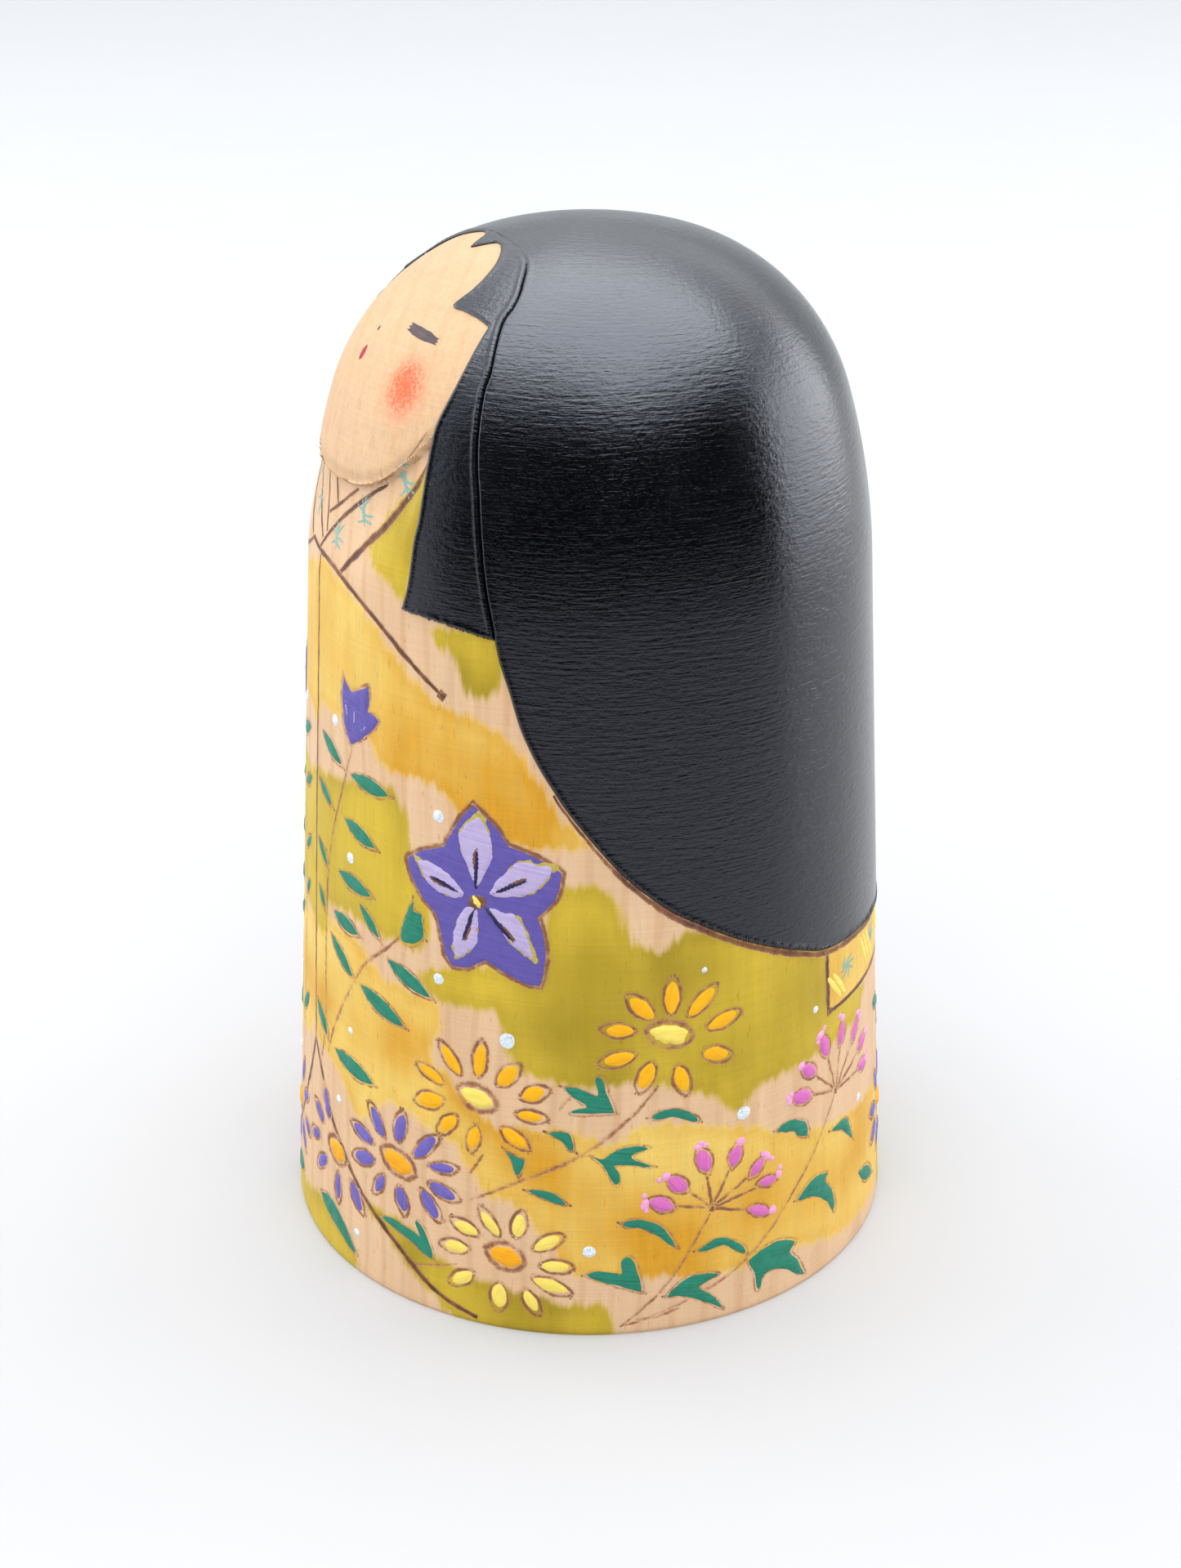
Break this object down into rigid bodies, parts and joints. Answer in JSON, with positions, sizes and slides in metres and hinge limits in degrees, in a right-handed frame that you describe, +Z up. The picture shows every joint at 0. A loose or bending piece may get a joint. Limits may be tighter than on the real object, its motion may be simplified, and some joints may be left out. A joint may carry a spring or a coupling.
{
  "type": "kokeshi doll",
  "caption": "Round-headed wooden doll with long black hair and a flower-painted robe, turned and carved from one block, standing on a flat base.",
  "frame": {"origin": "centre of the flat base on the lathe axis", "axes": "+Z up along the lathe axis; the doll faces -Y; +X is the doll's left side"},
  "size_m": [0.0801, 0.08, 0.1303],
  "materials": {
    "wood": "close-grained pale hardwood, satin varnish over thin yellow and green stains",
    "lacquer": "black satin lacquer over the lathe ridges",
    "face_ink": "thin dark brush ink",
    "crimson_paint": "matt brush paint",
    "cream_paint": "matt brush paint",
    "violet_paint": "matt brush paint",
    "yellow_paint": "matt brush paint",
    "gold_paint": "matt brush paint",
    "pink_paint": "matt brush paint",
    "pale_pink_paint": "matt brush paint",
    "green_paint": "matt brush paint",
    "silver_paint": "glittering metallic paint"
  },
  "bodies": {
    "root": {"wood_block": "wood", "back_hair_lacquer": "lacquer", "front_hair_lacquer": "lacquer", "eye_paint": "face_ink", "mouth_paint": "crimson_paint", "nose_dot_paint": "face_ink", "bow_paint": "cream_paint", "bellflower_paint": "violet_paint", "yellow_petal_paint": "yellow_paint", "cream_petal_paint": "cream_paint", "aster_petal_paint": "violet_paint", "flower_centre_paint": "gold_paint", "pink_bud_paint": "pink_paint", "pink_tip_paint": "pale_pink_paint", "leaf_paint": "green_paint", "silver_dot_paint": "silver_paint"}
  },
  "joints": []
}
